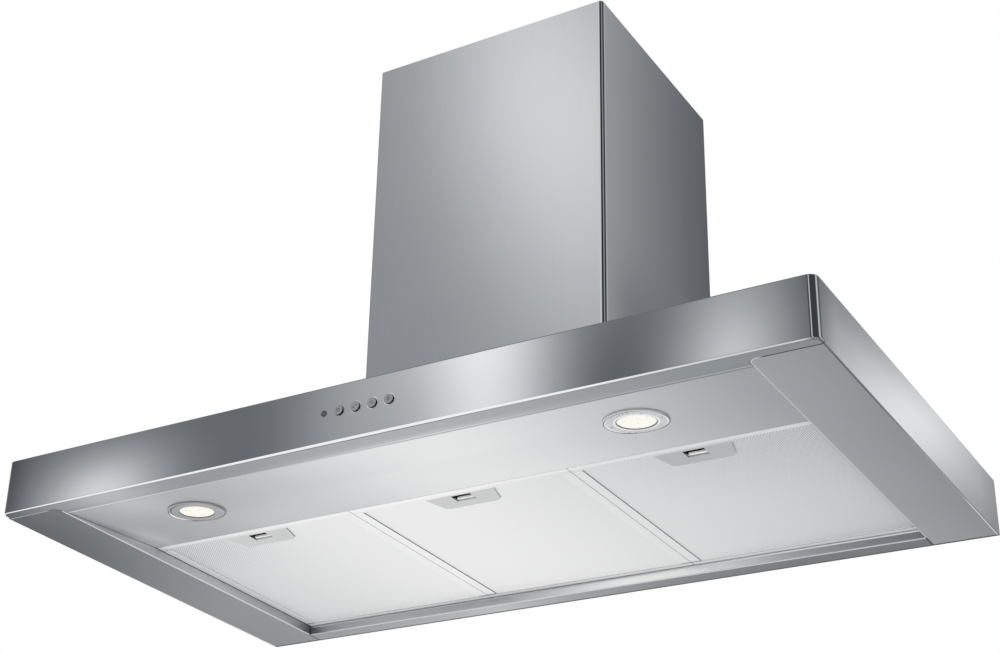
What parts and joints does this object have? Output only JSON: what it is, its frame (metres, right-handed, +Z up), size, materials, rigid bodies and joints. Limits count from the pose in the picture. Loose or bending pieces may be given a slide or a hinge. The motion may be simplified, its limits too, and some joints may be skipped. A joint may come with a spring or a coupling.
{
  "type": "built-in range hood",
  "caption": "Wall-mounted box range hood: flat canopy with push buttons, lamps and hinged grease filters, a centrifugal blower and a telescopic chimney.",
  "frame": {"origin": "on the wall plane, on the hood's centre line, level with the underside of the canopy", "axes": "+X to the right along the wall as seen from the front, +Y into the wall so that the front faces -Y, +Z up"},
  "size_m": [0.9, 0.5018, 0.597],
  "materials": {
    "stainless": "fine horizontal brushing, satin",
    "stainless_light": "fine brushing, satin",
    "galvanised": "zinc coated sheet",
    "fixings": "zinc plated",
    "filter_aluminium": "bright perforated sheet",
    "catch_grey": "satin moulded plastic",
    "catch_white": "gloss moulded plastic",
    "bezel_grey": "spun satin ring",
    "lens": "frosted, lit warm white",
    "button_steel": "satin caps with small dark marks",
    "dark_plastic": "moulded",
    "pilot_light": "dark smoked",
    "board_green": "solder resist",
    "capacitor_can": "drawn can"
  },
  "bodies": {
    "hood": {"front_band": "stainless", "top_cover": "stainless", "back_wall": "galvanised", "side_panel_left": "stainless", "side_panel_right": "stainless", "lamp_panel": "stainless_light", "plenum_divider": "galvanised", "lamp_bezel_left": "bezel_grey", "lamp_bezel_right": "bezel_grey", "lamp_lens_left": "lens", "lamp_lens_right": "lens", "lamp_body_left": "capacitor_can", "lamp_body_right": "capacitor_can", "control_housing": "dark_plastic", "control_board": "board_green", "switch_block": "dark_plastic", "led_lens": "pilot_light", "blower_box": "galvanised", "scroll_left": "dark_plastic", "scroll_right": "dark_plastic", "motor": "fixings", "motor_bracket": "galvanised", "outlet_collar": "dark_plastic", "flap_pin": "fixings", "capacitor": "capacitor_can", "terminal_box": "catch_grey", "cable_gland": "dark_plastic", "blower_screws": "fixings", "lower_chimney": "stainless"},
    "filter_1": {"filter_frame_1": "filter_aluminium", "filter_grille_1": "filter_aluminium", "filter_pad_1": "filter_aluminium", "catch_housing_1": "catch_grey", "catch_spring_1": "fixings"},
    "filter_2": {"filter_frame_2": "filter_aluminium", "filter_grille_2": "filter_aluminium", "filter_pad_2": "filter_aluminium", "catch_housing_2": "catch_grey", "catch_spring_2": "fixings"},
    "filter_3": {"filter_frame_3": "filter_aluminium", "filter_grille_3": "filter_aluminium", "filter_pad_3": "filter_aluminium", "catch_housing_3": "catch_grey", "catch_spring_3": "fixings"},
    "catch_1": {"catch_slide_1": "catch_white"},
    "catch_2": {"catch_slide_2": "catch_white"},
    "catch_3": {"catch_slide_3": "catch_white"},
    "button_1": {"button_1": "button_steel"},
    "button_2": {"button_2": "button_steel"},
    "button_3": {"button_3": "button_steel"},
    "button_4": {"button_4": "button_steel"},
    "rotor": {"motor_shaft": "fixings", "impeller": "dark_plastic"},
    "flap_front": {"flap_front": "dark_plastic"},
    "flap_rear": {"flap_rear": "dark_plastic"},
    "upper_section": {"upper_chimney": "stainless", "chimney_bracket": "galvanised", "bracket_screws": "fixings"}
  },
  "joints": [
    {"name": "filter_1_hinge", "type": "hinge", "parent": "hood", "child": "filter_1", "pos_m": [-0.25447, -0.0235, 0.0095], "axis": [1, 0, 0], "range_deg": [0, 75]},
    {"name": "filter_2_hinge", "type": "hinge", "parent": "hood", "child": "filter_2", "pos_m": [0, -0.0235, 0.0095], "axis": [1, 0, 0], "range_deg": [0, 75]},
    {"name": "filter_3_hinge", "type": "hinge", "parent": "hood", "child": "filter_3", "pos_m": [0.25447, -0.0235, 0.0095], "axis": [1, 0, 0], "range_deg": [0, 75]},
    {"name": "catch_1_slide", "type": "slide", "parent": "filter_1", "child": "catch_1", "axis": [0, 1, 0], "range_m": [0, 0.005], "stiffness_N_per_m": 300, "springref_m": -0.003, "deforming": ["catch_spring_1"]},
    {"name": "catch_2_slide", "type": "slide", "parent": "filter_2", "child": "catch_2", "axis": [0, 1, 0], "range_m": [0, 0.005], "stiffness_N_per_m": 300, "springref_m": -0.003, "deforming": ["catch_spring_2"]},
    {"name": "catch_3_slide", "type": "slide", "parent": "filter_3", "child": "catch_3", "axis": [0, 1, 0], "range_m": [0, 0.005], "stiffness_N_per_m": 300, "springref_m": -0.003, "deforming": ["catch_spring_3"]},
    {"name": "button_1_push", "type": "slide", "parent": "hood", "child": "button_1", "axis": [0, 1, 0], "range_m": [0, 0.0015], "stiffness_N_per_m": 800, "springref_m": -0.001},
    {"name": "button_2_push", "type": "slide", "parent": "hood", "child": "button_2", "axis": [0, 1, 0], "range_m": [0, 0.0015], "stiffness_N_per_m": 800, "springref_m": -0.001},
    {"name": "button_3_push", "type": "slide", "parent": "hood", "child": "button_3", "axis": [0, 1, 0], "range_m": [0, 0.0015], "stiffness_N_per_m": 800, "springref_m": -0.001},
    {"name": "button_4_push", "type": "slide", "parent": "hood", "child": "button_4", "axis": [0, 1, 0], "range_m": [0, 0.0015], "stiffness_N_per_m": 800, "springref_m": -0.001},
    {"name": "rotor_spin", "type": "hinge", "parent": "hood", "child": "rotor", "pos_m": [0, -0.12, 0.172], "axis": [1, 0, 0], "continuous": true},
    {"name": "flap_front_hinge", "type": "hinge", "parent": "hood", "child": "flap_front", "pos_m": [0, -0.166, 0.3318], "axis": [-1, 0, 0], "range_deg": [0, 75]},
    {"name": "flap_rear_hinge", "type": "hinge", "parent": "hood", "child": "flap_rear", "pos_m": [0, -0.166, 0.3318], "axis": [1, 0, 0], "range_deg": [0, 75]},
    {"name": "upper_section_slide", "type": "slide", "parent": "hood", "child": "upper_section", "axis": [0, 0, 1], "range_m": [0, 0.3]}
  ]
}
